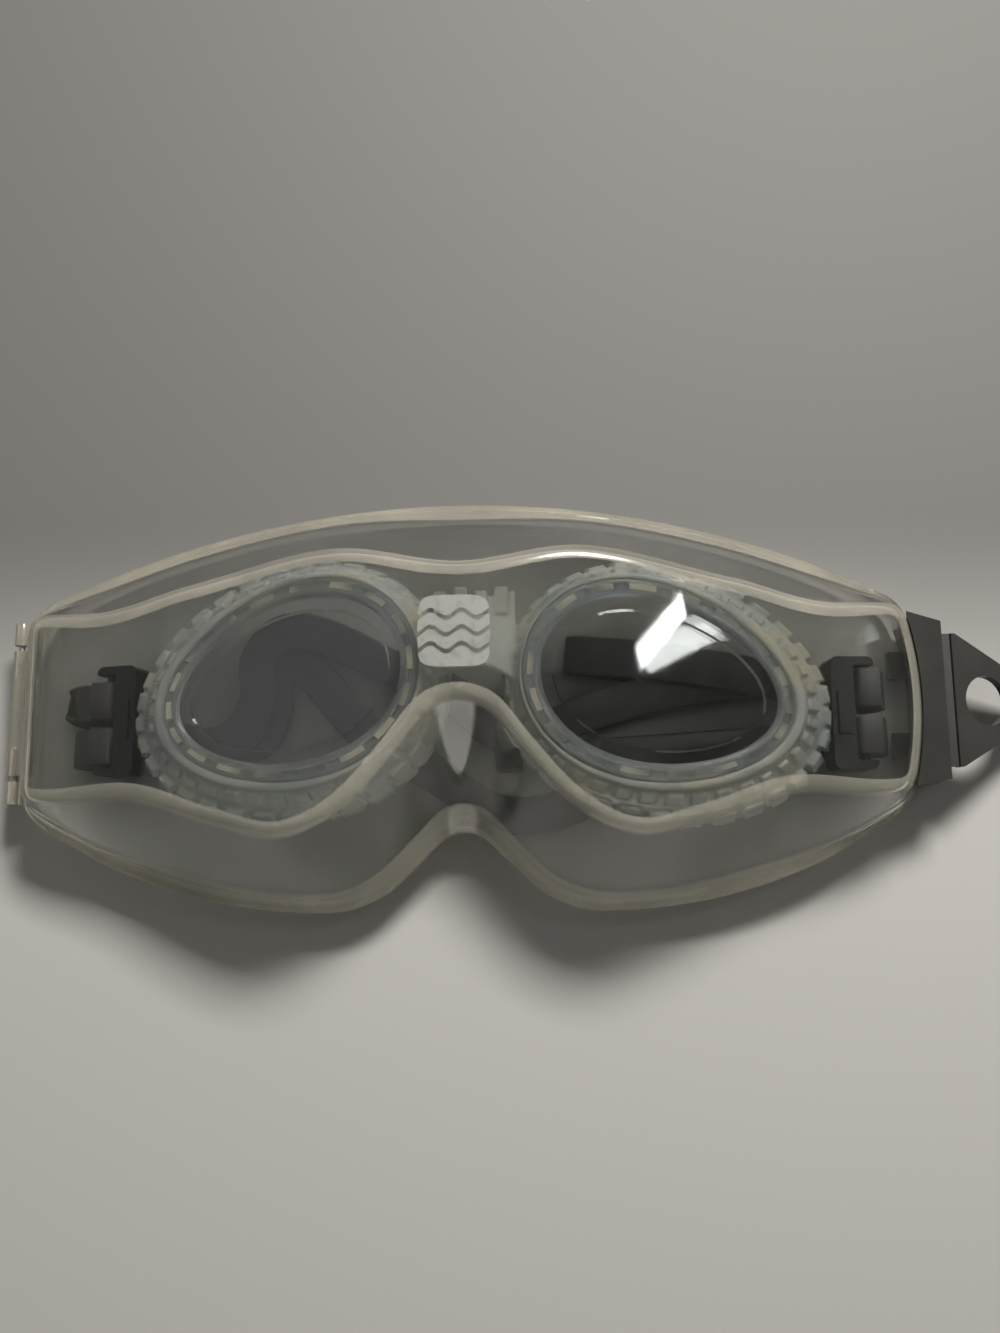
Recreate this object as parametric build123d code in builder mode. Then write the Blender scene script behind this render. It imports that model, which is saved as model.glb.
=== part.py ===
"""Swim goggles packed in their clear clamshell case, with a grey end cap and hang tab.

Frame: millimetres, the case lies on its flat back. +X runs along the case towards the
hang tab, +Y towards the brow and +Z out of the front face. The origin is the middle of
the flat back, on the nose line.
"""

from build123d import *
from math import asin, atan2, cos, degrees, hypot, pi, radians, sin, sqrt
import os

os.makedirs("parts", exist_ok=True)

# ---------------------------------------------------------------- case dimensions
CASE_HALF = 96.0        # half length of the case at the rim
END_TOP = 24.0          # brow corner of each end, above the X axis
END_LOW = -20.0         # nose corner of each end
END_BULGE = 3.5         # how far the right end wall bows outwards
BROW_Y = 47.6           # top of the rim on the nose line
LOBE_X = 30.0           # lowest point of each cheek lobe
LOBE_Y = -41.7
LOBE_RADIUS = 23.4
NOSE_Y = -25.0          # top of the nose notch at the rim
NOSE_RADIUS = 8.0
RIM_Z = 9.0             # height of the seam between the two shells
FRONT_Z = 38.0          # highest point of the front face
FRONT_RADIUS = 250.0    # the front face is a cylinder about a Y axis
WALL = 1.8              # wall thickness of both shells
SEAM_GAP = 0.15         # half of the gap between the shells
BACK_FILLET = 3.0       # rounding of the edge that the case lies on

# Front face corners, taken at the height FRONT_Z before the curved face cuts them.
FACE_HALF = 90.5
FACE_BROW = ((0.0, 26.6), (25.0, 29.4), (56.0, 19.4), (78.0, 11.0))
FACE_END_TOP = 16.0
FACE_END_LOW = -13.0
FACE_END_SLOPE = 0.4
FACE_LOW = ((70.0, -9.0), (50.0, -20.0))
FACE_LOBE = (36.0, -25.0)
FACE_NOSE = ((22.0, -19.0), (13.0, -9.5), (6.5, -1.8))
FACE_NOSE_TOP = 0.4

# ---------------------------------------------------------------- hinge dimensions
HINGE_X = -99.2         # hinge axis, along Y, just outside the left end wall
HINGE_MID_Y = 2.0
KNUCKLE_RADIUS = 1.6
KNUCKLE_LONG = 28.0     # middle knuckle, on the front shell
KNUCKLE_SHORT = 5.0     # outer knuckles, on the back shell
KNUCKLE_GAP = 1.2
PIN_RADIUS = 0.7
PIN_LENGTH = 9.0
PIN_CLEARANCE = 0.05    # in the middle knuckle, which turns on the pins
PRESS_GAP = 0.01        # in the outer knuckles and buckles, which hold their pins
PIN_END_GAP = 0.5
WEB_END_X = -95.2       # the knuckles' webs end inside the end wall

# ---------------------------------------------------------------- end cap and tab
CAP_GAP = 0.3           # clearance between the cap and the end walls
CAP_ROOT_X = 90.0       # the cap's walls start here, before the case cuts them back
CAP_TIP_X = 103.0
CAP_WALL = 1.6
CAP_ROOT = {"low": -18.0, "top": 21.2, "bottom": 1.0, "front": 20.0}
CAP_TIP = {"low": -15.5, "top": 18.5, "bottom": 2.5, "front": 15.6}
PRONG_HALF = 9.0        # prongs sit this far either side of the cap's middle line
PRONG_WIDE = 6.0
PRONG_THICK = 2.0
PRONG_Z = 5.2
PRONG_START_X = 93.5
SLOT_CLEARANCE = 0.3
SLOT_DEPTH = 12.0
TAB_MID_Y = 1.5
TAB_TILT = 20.0         # the tab leans back by this many degrees
TAB_THICK = 2.0
FOLD_X = 104.0          # fold line between the cap and the tab
FOLD_Z = 14.2
FOLD_REACH = 1.0        # from the fold line to the cap and to the tab
FOLD_THICK = 0.4
FOLD_FREE = 0.05        # gap between the thin fold and the tab
TAB_HALF = 14.4
TAB_ROOT_LONG = 1.0
TAB_TIP = 20.0          # fold line to the middle of the rounded tip
TAB_TIP_RADIUS = 4.0
HOLE_REACH = 9.0        # fold line to the middle of the hang hole
HOLE_RADIUS = 5.4

# ---------------------------------------------------------------- goggle dimensions
LENS_LONG = 25.5        # half width of the lens opening
LENS_TALL = 17.2        # half height
LENS_EGG = 0.14         # how much narrower the temple end is
LENS_LEAN = 13.0        # the temple end sits lower by this many degrees
OUTLINE_POINTS = 14
LEFT_CUP = {"side": -1, "origin": (-35.5, 4.5, 27.3), "tilt": 14.0}
RIGHT_CUP = {"side": 1, "origin": (41.0, 3.5, 27.3), "tilt": 8.0}
LENS_THICK = 1.8
LENS_EDGE = 0.7         # the lens reaches this far past its opening
RING_INNER = 0.9
RING_LIP = -0.6
RING_OUTER = 3.2
RING_FRONT = 0.8
RING_BACK = -2.2
LIP_BACK = 0.05
GRIP_OUTER = 5.2        # silicone round the ring
GRIP_INNER = 3.25
GRIP_FRONT = 0.4
SEAT_BACK = -2.25       # ledge that the ring sits on
CUP_INNER = 0.6         # inner edge of that ledge
CUP_WAIST = -4.0
CUP_BACK = -14.0
SKIRT_OUTER = 8.5
SKIRT_INNER = 5.5
CUT_MARGIN = 6.0        # how far the cup openings are cut past both faces
BRIDGE_LEFT = -18.0
BRIDGE_RIGHT = 21.0
BRIDGE_LOW = 8.0
BRIDGE_HIGH = 22.0
BRIDGE_BACK = 26.5
BRIDGE_FRONT = 31.5
TEMPLE_V = -5.0         # lugs and buckles sit this far below the middle of the lens
TEMPLE_DEPTH = -7.0     # and this far behind its face
LUG_START = 29.5
LUG_END = 37.7
LUG_TALL = 12.0
LUG_THICK = 3.2

# ---------------------------------------------------------------- buckles
BUCKLE_START = 37.8
BUCKLE_END = 47.3
BUCKLE_TALL = 24.0
BUCKLE_THICK = 6.0
BUCKLE_CORNER = 1.5
WINDOW_START = 42.8
WINDOW_END = 48.0       # past the buckle's end, so that its two arms hold the bar
WINDOW_TALL = 20.4
BAR_U = 45.5
BAR_RADIUS = 0.9
BAR_TALL = 23.0
BUTTON_U = 40.4
BUTTON_LONG = 2.8
BUTTON_TALL = 9.0
BUTTON_PROUD = 0.6
BUTTON_SUNK = 1.4
BUTTON_CLEARANCE = 0.1
POCKET_DEPTH = 2.6

# ---------------------------------------------------------------- strap
BAND_WIDE = 8.6
BAND_SPLIT = 1.4        # gap between the upper and the lower band
BAND_THICK = 1.3
STRAP_MID_Y = -1.0
LAYER_LOW = 3.3         # heights of the three folded layers
LAYER_MIDDLE = 5.2
LAYER_HIGH = 7.1
FOLD_LEFT_X = -50.0
FOLD_RIGHT_X = 58.0
LOOP_LEFT_X = -86.0
LOOP_RIGHT_X = 90.5
LOOP_RADIUS = 1.5
TURN_RADIUS = 0.9
WRAP_REACH = 1.6        # from a buckle bar to the middle of the strap round it
WRAP_RADIUS = 1.55
TAIL_LONG = 3.5         # the strap's loose end past the bar
KEEPER_X = 8.0
KEEPER_LONG = 5.0
KEEPER_WALL = 0.6
KEEPER_GAP = 0.15


def front_height(x, depth=0.0):
    """Height of the front face at x, or of the surface that runs depth below it."""
    radius = FRONT_RADIUS - depth
    return FRONT_Z - FRONT_RADIUS + sqrt(radius**2 - x**2)


def notch_angle():
    """Downward slope of the straight side of the nose notch, in degrees."""
    across = LOBE_X
    rise = (LOBE_Y + LOBE_RADIUS) - (NOSE_Y - NOSE_RADIUS)
    reach = LOBE_RADIUS + NOSE_RADIUS
    return degrees(asin(reach / hypot(across, rise)) - atan2(rise, across))


def rim_edges(inset):
    """Edges of the rim outline in order, moved inwards by inset."""
    end = CASE_HALF - inset
    top = END_TOP - inset
    low = END_LOW + inset
    lobe_y = LOBE_Y + inset
    nose_y = NOSE_Y + inset
    slope = radians(notch_angle())
    lobe_radius = LOBE_RADIUS - inset
    nose_radius = NOSE_RADIUS + inset
    lobe_side = (LOBE_X - lobe_radius * sin(slope), lobe_y + lobe_radius * (1 - cos(slope)))
    nose_side = (nose_radius * sin(slope), nose_y - nose_radius * (1 - cos(slope)))
    left_lobe_side = (-lobe_side[0], lobe_side[1])
    left_nose_side = (-nose_side[0], nose_side[1])
    cheek_radius = ((end - LOBE_X) ** 2 + (low - lobe_y) ** 2) / (2 * (low - lobe_y))
    cheek_turn = asin((end - LOBE_X) / cheek_radius) / 2
    cheek_middle = (LOBE_X + cheek_radius * sin(cheek_turn), lobe_y + cheek_radius * (1 - cos(cheek_turn)))
    lobe = (LOBE_X, lobe_y)
    left_lobe = (-LOBE_X, lobe_y)
    nose = (0, nose_y)
    level = ((-1, 0), (-1, 0))
    return [
        ThreePointArc((-end, top), (0, BROW_Y - inset), (end, top)),
        ThreePointArc((end, top), (end + END_BULGE, (top + low) / 2), (end, low)),
        ThreePointArc((end, low), cheek_middle, lobe),
        Spline(lobe, lobe_side, nose_side, nose, tangents=level),
        Spline(nose, left_nose_side, left_lobe_side, left_lobe, tangents=level),
        ThreePointArc(left_lobe, (-cheek_middle[0], cheek_middle[1]), (-end, low)),
        Line((-end, low), (-end, top)),
    ]


def face_edges(inset):
    """Edges of the front face outline, one for each edge of the rim outline."""
    end = FACE_HALF - inset
    top = FACE_END_TOP - inset
    low = FACE_END_LOW + inset
    brow = [(x, y - inset) for x, y in FACE_BROW]
    left_brow = [(-x, y) for x, y in reversed(brow[1:])]
    lower = [(x, y + inset) for x, y in FACE_LOW]
    left_lower = [(-x, y) for x, y in reversed(lower)]
    lobe = (FACE_LOBE[0], FACE_LOBE[1] + inset)
    left_lobe = (-lobe[0], lobe[1])
    nose = [(x, y + inset) for x, y in FACE_NOSE]
    left_nose = [(-x, y) for x, y in reversed(nose)]
    nose_top = (0, FACE_NOSE_TOP + inset)
    level = ((-1, 0), (-1, 0))
    return [
        Spline((-end, top), *left_brow, *brow, (end, top)),
        ThreePointArc((end, top), (end + END_BULGE / 4, (top + low) / 2), (end, low)),
        Spline((end, low), *lower, lobe, tangents=((-1, FACE_END_SLOPE), (-1, 0))),
        Spline(lobe, *nose, nose_top, tangents=level),
        Spline(nose_top, *left_nose, left_lobe, tangents=level),
        Spline(left_lobe, *left_lower, (-end, low), tangents=((-1, 0), (-1, -FACE_END_SLOPE))),
        Line((-end, low), (-end, top)),
    ]


def flank(inset):
    """Solid between the rim outline and the front face outline, each moved inwards by inset."""
    rim = Wire(rim_edges(inset)).moved(Location((0, 0, RIM_Z + SEAM_GAP)))
    face = Wire(face_edges(inset)).moved(Location((0, 0, FRONT_Z)))
    return Solid.make_loft([rim, face], True)


def dome(inset):
    """Front half of the case as a solid, moved inwards by inset on every side but the seam."""
    sides = flank(inset)
    reach = CASE_HALF + 2 * END_BULGE
    edge = front_height(reach, inset)
    with BuildPart() as solid:
        add(sides)
        with BuildSketch(Plane.XZ):
            with BuildLine():
                ThreePointArc((-reach, edge), (0, FRONT_Z - inset), (reach, edge))
                Polyline((reach, edge), (reach, 0), (-reach, 0), (-reach, edge))
            make_face()
        extrude(amount=2 * BROW_Y, both=True, mode=Mode.INTERSECT)
    return solid.part


def tray(inset, floor, height):
    """Back half of the case as a solid, from floor up to height."""
    outline = rim_edges(inset)
    with BuildPart() as solid:
        with BuildSketch(Plane.XY.offset(floor)):
            with BuildLine():
                add(outline)
            make_face()
        extrude(amount=height - floor)
        fillet(solid.faces().sort_by(Axis.Z)[0].edges(), BACK_FILLET - inset / 2)
    return solid.part


def cup_plane(cup, depth=0.0):
    """Plane of a lens face, +x to the right along the case and +z out of the lens, moved by depth."""
    lean = radians(cup["side"] * cup["tilt"])
    normal = Vector(sin(lean), 0, cos(lean))
    origin = Vector(*cup["origin"]) + normal * depth
    return Plane(origin=origin, x_dir=(cos(lean), 0, -sin(lean)), z_dir=normal)


def lens_points(cup, grow):
    """Points of the lens outline in the cup's plane, moved outwards by grow."""
    lean = radians(LENS_LEAN)
    points = []
    for step in range(OUTLINE_POINTS):
        turn = 2 * pi * step / OUTLINE_POINTS
        u = (LENS_LONG + grow) * cos(turn)
        v = (LENS_TALL + grow) * sin(turn) * (1 - LENS_EGG * cos(turn))
        points.append((cup["side"] * (u * cos(lean) + v * sin(lean)), v * cos(lean) - u * sin(lean)))
    return points


def lens_prism(cup, grow, start, end):
    """Solid with the lens outline, moved outwards by grow, between two depths."""
    with BuildPart() as solid:
        with BuildSketch(cup_plane(cup, start)):
            with BuildLine():
                Spline(*lens_points(cup, grow), periodic=True)
            make_face()
        extrude(amount=end - start)
    return solid.part


def lens_cone(cup, grow_front, front, grow_back, back):
    """Solid that flares from one lens outline at depth front to another at depth back."""
    with BuildPart() as solid:
        for grow, depth in ((grow_front, front), (grow_back, back)):
            with BuildSketch(cup_plane(cup, depth)):
                with BuildLine():
                    Spline(*lens_points(cup, grow), periodic=True)
                make_face()
        loft(ruled=True)
    return solid.part


def temple_box(cup, start, end, tall, low, high):
    """Box at the temple of a cup, from start to end outwards and between two depths."""
    middle = cup["side"] * (start + end) / 2
    with BuildPart() as solid:
        with BuildSketch(cup_plane(cup, low)):
            with Locations((middle, TEMPLE_V)):
                Rectangle(end - start, tall)
        extrude(amount=high - low)
    return solid.part


def y_rod(x, y, z, radius, length):
    """Round rod along Y, centred on (x, y, z)."""
    with BuildPart() as solid:
        with BuildSketch(Plane(origin=(x, y, z), x_dir=(1, 0, 0), z_dir=(0, 1, 0))):
            Circle(radius)
        extrude(amount=length / 2, both=True)
    return solid.part


def block(x_range, y_range, z_range):
    """Box between two corners."""
    with BuildPart() as solid:
        with BuildSketch(Plane.XY.offset(z_range[0])):
            with Locations(((x_range[0] + x_range[1]) / 2, (y_range[0] + y_range[1]) / 2)):
                Rectangle(x_range[1] - x_range[0], y_range[1] - y_range[0])
        extrude(amount=z_range[1] - z_range[0])
    return solid.part


def write(piece, name):
    """Label a finished piece and write its STEP file."""
    piece.label = name
    export_step(piece, f"parts/{name}.step")


# ---------------------------------------------------------------- case shells and hinge
outer_dome = dome(0)
inner_dome = dome(WALL)
outer_tray = tray(0, 0, RIM_Z - SEAM_GAP)
inner_tray = tray(WALL, WALL, RIM_Z + SEAM_GAP)

middle_knuckle = y_rod(HINGE_X, HINGE_MID_Y, RIM_Z, KNUCKLE_RADIUS, KNUCKLE_LONG)
middle_web = block(
    (HINGE_X, WEB_END_X),
    (HINGE_MID_Y - KNUCKLE_LONG / 2, HINGE_MID_Y + KNUCKLE_LONG / 2),
    (RIM_Z + SEAM_GAP, RIM_Z + KNUCKLE_RADIUS),
)
knuckle_reach = KNUCKLE_LONG / 2 + KNUCKLE_GAP + KNUCKLE_SHORT / 2
outer_knuckles = []
outer_webs = []
pins = []
pin_bores = []
knuckle_bores = []
for turn in (1, -1):
    knuckle_y = HINGE_MID_Y + turn * knuckle_reach
    pin_y = knuckle_y - turn * (PIN_LENGTH - KNUCKLE_SHORT) / 2
    outer_knuckles.append(y_rod(HINGE_X, knuckle_y, RIM_Z, KNUCKLE_RADIUS, KNUCKLE_SHORT))
    outer_webs.append(
        block(
            (HINGE_X, WEB_END_X),
            (knuckle_y - KNUCKLE_SHORT / 2, knuckle_y + KNUCKLE_SHORT / 2),
            (RIM_Z - KNUCKLE_RADIUS, RIM_Z - SEAM_GAP),
        )
    )
    pins.append(y_rod(HINGE_X, pin_y, RIM_Z, PIN_RADIUS, PIN_LENGTH))
    bore_length = PIN_LENGTH + PIN_END_GAP
    pin_bores.append(y_rod(HINGE_X, pin_y, RIM_Z, PIN_RADIUS + PIN_CLEARANCE, bore_length))
    press_length = KNUCKLE_SHORT + PIN_END_GAP
    knuckle_bores.append(y_rod(HINGE_X, knuckle_y, RIM_Z, PIN_RADIUS + PRESS_GAP, press_length))

with BuildPart() as front_shell:
    add(outer_dome)
    add(middle_knuckle)
    add(middle_web)
    add(inner_dome, mode=Mode.SUBTRACT)
    add(pin_bores, mode=Mode.SUBTRACT)
write(front_shell.part, "front_shell")

slot_cutters = []
prongs = []
for turn in (1, -1):
    prong_y = TAB_MID_Y + turn * PRONG_HALF
    half_wide = PRONG_WIDE / 2
    half_thick = PRONG_THICK / 2
    grown_wide = half_wide + SLOT_CLEARANCE
    grown_thick = half_thick + SLOT_CLEARANCE
    prongs.append(
        block(
            (PRONG_START_X, CAP_TIP_X - CAP_WALL / 2),
            (prong_y - half_wide, prong_y + half_wide),
            (PRONG_Z - half_thick, PRONG_Z + half_thick),
        )
    )
    slot_cutters.append(
        block(
            (PRONG_START_X, PRONG_START_X + SLOT_DEPTH),
            (prong_y - grown_wide, prong_y + grown_wide),
            (PRONG_Z - grown_thick, PRONG_Z + grown_thick),
        )
    )

with BuildPart() as back_shell:
    add(outer_tray)
    add(outer_knuckles)
    add(outer_webs)
    add(inner_tray, mode=Mode.SUBTRACT)
    add(knuckle_bores, mode=Mode.SUBTRACT)
    add(slot_cutters, mode=Mode.SUBTRACT)
write(back_shell.part, "back_shell")

write(pins[0], "hinge_pin_upper")
write(pins[1], "hinge_pin_lower")

# ---------------------------------------------------------------- end cap and hang tab
grown_dome = dome(-CAP_GAP)
grown_tray = tray(-CAP_GAP, -CAP_GAP, RIM_Z + SEAM_GAP)
fold_web = block(
    (FOLD_X - FOLD_REACH, FOLD_X + FOLD_REACH - FOLD_FREE),
    (TAB_MID_Y - TAB_HALF, TAB_MID_Y + TAB_HALF),
    (FOLD_Z - FOLD_THICK / 2, FOLD_Z + FOLD_THICK / 2),
)


def cap_section(corners, inset):
    """Draw one section of the cap, moved inwards by inset, in a YZ plane."""
    low = corners["low"] + inset
    top = corners["top"] - inset
    bottom = corners["bottom"] + inset
    front = corners["front"] - inset
    Polyline((low, bottom), (top, bottom), (top, front), (low, front), close=True)


def cap_solid(inset, tip_x):
    """The cap's tapered body, moved inwards by inset, ending at tip_x."""
    with BuildPart() as solid:
        for corners, x in ((CAP_ROOT, CAP_ROOT_X), (CAP_TIP, tip_x)):
            with BuildSketch(Plane.YZ.offset(x)):
                with BuildLine():
                    cap_section(corners, inset)
                make_face()
        loft(ruled=True)
    return solid.part


cap_outer = cap_solid(0, CAP_TIP_X)
cap_inner = cap_solid(CAP_WALL, CAP_TIP_X - CAP_WALL)
with BuildPart() as end_cap:
    add(cap_outer)
    add(cap_inner, mode=Mode.SUBTRACT)
    add(grown_dome, mode=Mode.SUBTRACT)
    add(grown_tray, mode=Mode.SUBTRACT)
    add(prongs)
    add(fold_web)
write(end_cap.part, "end_cap")

tab_lean = radians(TAB_TILT)
tab_plane = Plane(
    origin=(FOLD_X, TAB_MID_Y, FOLD_Z),
    x_dir=(cos(tab_lean), 0, -sin(tab_lean)),
    z_dir=(sin(tab_lean), 0, cos(tab_lean)),
)
with BuildPart() as hang_tab:
    with BuildSketch(tab_plane):
        with Locations((FOLD_REACH + TAB_ROOT_LONG / 2, 0)):
            Rectangle(TAB_ROOT_LONG, 2 * TAB_HALF)
        with Locations((TAB_TIP, 0)):
            Circle(TAB_TIP_RADIUS)
        make_hull()
        with Locations((HOLE_REACH, 0)):
            Circle(HOLE_RADIUS, mode=Mode.SUBTRACT)
    extrude(amount=TAB_THICK / 2, both=True)
write(hang_tab.part, "hang_tab")

# ---------------------------------------------------------------- lenses and rings
for name, cup in (("left", LEFT_CUP), ("right", RIGHT_CUP)):
    write(lens_prism(cup, LENS_EDGE, -LENS_THICK, 0), f"lens_{name}")

    ring_body = lens_prism(cup, RING_OUTER, RING_BACK, RING_FRONT)
    lens_seat = lens_prism(cup, RING_INNER, RING_BACK, LIP_BACK)
    opening = lens_prism(cup, RING_LIP, RING_BACK, RING_FRONT)
    with BuildPart() as lens_ring:
        add(ring_body)
        add(lens_seat, mode=Mode.SUBTRACT)
        add(opening, mode=Mode.SUBTRACT)
    write(lens_ring.part, f"lens_ring_{name}")

# ---------------------------------------------------------------- silicone frame
frame_bodies = []
frame_cuts = []
for cup in (LEFT_CUP, RIGHT_CUP):
    frame_bodies.append(lens_prism(cup, GRIP_OUTER, CUP_WAIST, GRIP_FRONT))
    frame_bodies.append(lens_cone(cup, GRIP_OUTER, CUP_WAIST, SKIRT_OUTER, CUP_BACK))
    frame_bodies.append(
        temple_box(
            cup, LUG_START, LUG_END, LUG_TALL, TEMPLE_DEPTH - LUG_THICK / 2, TEMPLE_DEPTH + LUG_THICK / 2
        )
    )
    frame_cuts.append(lens_prism(cup, GRIP_INNER, SEAT_BACK, CUT_MARGIN))
    frame_cuts.append(lens_prism(cup, CUP_INNER, CUP_WAIST, SEAT_BACK))
    frame_cuts.append(lens_cone(cup, CUP_INNER, CUP_WAIST, SKIRT_INNER, CUP_BACK))

bridge = block((BRIDGE_LEFT, BRIDGE_RIGHT), (BRIDGE_LOW, BRIDGE_HIGH), (BRIDGE_BACK, BRIDGE_FRONT))
with BuildPart() as silicone_frame:
    add(frame_bodies)
    add(bridge)
    add(frame_cuts, mode=Mode.SUBTRACT)
write(silicone_frame.part, "silicone_frame")

# ---------------------------------------------------------------- buckles
buckle_low = TEMPLE_DEPTH - BUCKLE_THICK / 2
buckle_high = TEMPLE_DEPTH + BUCKLE_THICK / 2
for name, cup in (("left", LEFT_CUP), ("right", RIGHT_CUP)):
    body = temple_box(cup, BUCKLE_START, BUCKLE_END, BUCKLE_TALL, buckle_low, buckle_high)
    window = temple_box(cup, WINDOW_START, WINDOW_END, WINDOW_TALL, buckle_low, buckle_high)
    button_start = BUTTON_U - BUTTON_LONG / 2
    button_end = BUTTON_U + BUTTON_LONG / 2
    pocket = temple_box(
        cup,
        button_start - BUTTON_CLEARANCE,
        button_end + BUTTON_CLEARANCE,
        BUTTON_TALL + 2 * BUTTON_CLEARANCE,
        buckle_high - POCKET_DEPTH,
        buckle_high,
    )
    button = temple_box(
        cup, button_start, button_end, BUTTON_TALL, buckle_high - BUTTON_SUNK, buckle_high + BUTTON_PROUD
    )
    bar_plane = cup_plane(cup, TEMPLE_DEPTH)
    bar_at = bar_plane.from_local_coords((cup["side"] * BAR_U, TEMPLE_V, 0))
    bar = y_rod(bar_at.X, bar_at.Y, bar_at.Z, BAR_RADIUS, BAR_TALL)
    bar_bore = y_rod(bar_at.X, bar_at.Y, bar_at.Z, BAR_RADIUS + PRESS_GAP, BAR_TALL + PIN_END_GAP)
    with BuildPart() as buckle:
        add(body)
        fillet(buckle.part.edges().filter_by(Axis(bar_plane.origin, bar_plane.z_dir)), BUCKLE_CORNER)
        add(window, mode=Mode.SUBTRACT)
        add(pocket, mode=Mode.SUBTRACT)
        add(bar_bore, mode=Mode.SUBTRACT)
    write(buckle.part, f"buckle_{name}")
    write(bar, f"buckle_bar_{name}")
    write(button, f"buckle_button_{name}")

# ---------------------------------------------------------------- strap and keeper


def bar_wrap(cup):
    """Strap route, in X and Z, round a cup's buckle bar from its loose end to its way out."""
    bar_at = cup_plane(cup, TEMPLE_DEPTH).from_local_coords((cup["side"] * BAR_U, TEMPLE_V, 0))
    inside = bar_at.X - cup["side"] * WRAP_REACH
    return [
        (bar_at.X + cup["side"] * TAIL_LONG, bar_at.Z + WRAP_REACH),
        (inside, bar_at.Z + WRAP_REACH),
        (inside, bar_at.Z - WRAP_REACH),
    ]


left_wrap = bar_wrap(LEFT_CUP)
right_wrap = bar_wrap(RIGHT_CUP)
strap_route = [
    *left_wrap,
    (LOOP_LEFT_X, left_wrap[-1][1]),
    (LOOP_LEFT_X, LAYER_LOW),
    (FOLD_RIGHT_X, LAYER_LOW),
    (FOLD_RIGHT_X, LAYER_MIDDLE),
    (FOLD_LEFT_X, LAYER_MIDDLE),
    (FOLD_LEFT_X, LAYER_HIGH),
    (LOOP_RIGHT_X, LAYER_HIGH),
    (LOOP_RIGHT_X, right_wrap[-1][1]),
    *reversed(right_wrap),
]
wrap_bends = [WRAP_RADIUS, WRAP_RADIUS]
loop_bends = [LOOP_RADIUS, LOOP_RADIUS]
fold_bends = 4 * [TURN_RADIUS]
strap_bends = wrap_bends + loop_bends + fold_bends + loop_bends + wrap_bends
band_reach = (BAND_SPLIT + BAND_WIDE) / 2
for name, middle_y in (("upper", STRAP_MID_Y + band_reach), ("lower", STRAP_MID_Y - band_reach)):
    with BuildPart() as strap:
        with BuildSketch(Plane.XZ.offset(-middle_y)):
            with BuildLine() as route:
                FilletPolyline(*strap_route, radius=strap_bends)
            trace(line_width=BAND_THICK)
        extrude(amount=BAND_WIDE / 2, both=True)
    write(strap.part, f"strap_{name}")

stack_half = BAND_WIDE + BAND_SPLIT / 2 + KEEPER_GAP
stack_low = LAYER_LOW - BAND_THICK / 2 - KEEPER_GAP
stack_high = LAYER_HIGH + BAND_THICK / 2 + KEEPER_GAP
keeper_x = (KEEPER_X, KEEPER_X + KEEPER_LONG)
keeper_outer = block(
    keeper_x,
    (STRAP_MID_Y - stack_half - KEEPER_WALL, STRAP_MID_Y + stack_half + KEEPER_WALL),
    (stack_low - KEEPER_WALL, stack_high + KEEPER_WALL),
)
keeper_inner = block(
    keeper_x, (STRAP_MID_Y - stack_half, STRAP_MID_Y + stack_half), (stack_low, stack_high)
)
with BuildPart() as strap_keeper:
    add(keeper_outer)
    add(keeper_inner, mode=Mode.SUBTRACT)
write(strap_keeper.part, "strap_keeper")
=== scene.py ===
"""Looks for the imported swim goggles: clear case, silicone goggles, strap, cap, stage, light and camera."""

from math import cos, pi, radians, sin

import bmesh
import bpy
import numpy as np
from mathutils import Matrix, Vector


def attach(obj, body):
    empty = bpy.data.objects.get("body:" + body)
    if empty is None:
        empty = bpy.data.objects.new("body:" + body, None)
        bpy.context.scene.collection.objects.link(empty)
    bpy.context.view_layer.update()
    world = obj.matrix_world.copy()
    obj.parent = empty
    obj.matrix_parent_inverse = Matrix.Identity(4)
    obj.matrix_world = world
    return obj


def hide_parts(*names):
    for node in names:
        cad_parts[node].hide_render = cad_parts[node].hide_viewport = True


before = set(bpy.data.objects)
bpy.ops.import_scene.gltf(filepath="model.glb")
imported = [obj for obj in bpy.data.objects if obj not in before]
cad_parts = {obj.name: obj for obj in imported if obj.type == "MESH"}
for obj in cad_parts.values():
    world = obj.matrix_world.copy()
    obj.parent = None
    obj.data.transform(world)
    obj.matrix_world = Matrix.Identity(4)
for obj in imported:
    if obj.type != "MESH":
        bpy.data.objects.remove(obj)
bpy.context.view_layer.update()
scene = bpy.context.scene
MM = 0.001

ROOT = "case_and_goggles"
LID = "front_lid"

# ---------------------------------------------------------------- case sizes, millimetres
CASE_HALF = 96.0
END_TOP = 24.0
END_LOW = -20.0
END_BULGE = 3.5
BROW_Y = 47.6
LOBE_X = 30.0
LOBE_Y = -41.7
LOBE_RADIUS = 23.4
NOSE_Y = -25.0
NOSE_RADIUS = 8.0
NOTCH_SLOPE = radians(44.0)
SEAM_LOW = 8.85
SEAM_HIGH = 9.15
FRONT_Z = 38.0
FRONT_RADIUS = 250.0
WALL = 1.8
FACE_HALF = 90.5
FACE_TOP = (
    (-90.5, 16), (-78, 11), (-56, 19.4), (-25, 29.4), (0, 26.6),
    (25, 29.4), (56, 19.4), (78, 11), (90.5, 16),
)
FACE_LOW = ((0, 0.4), (6.5, -1.8), (13, -9.5), (22, -19), (36, -25), (50, -20), (70, -9), (90.5, -13))
FACE_LOBE_X = 36.0
NOTCH_SHARE = 0.34      # share of the columns, from the nose line out, that the notch takes
COLUMNS = 224           # columns of the case grid along X
ROWS = 44               # rows of the case grid across the ends
LOOP = 2 * (COLUMNS + ROWS)
CORNER_REACH = 5        # loop points either side of a corner that are rounded
CORNER_PASSES = 14
RIM_BEAD = 0.5          # height of the bead along the seam
RIM_BEAD_END = 84.0     # the bead fades out here, before the end cap
RIM_BEAD_FADE = 6.0
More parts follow.
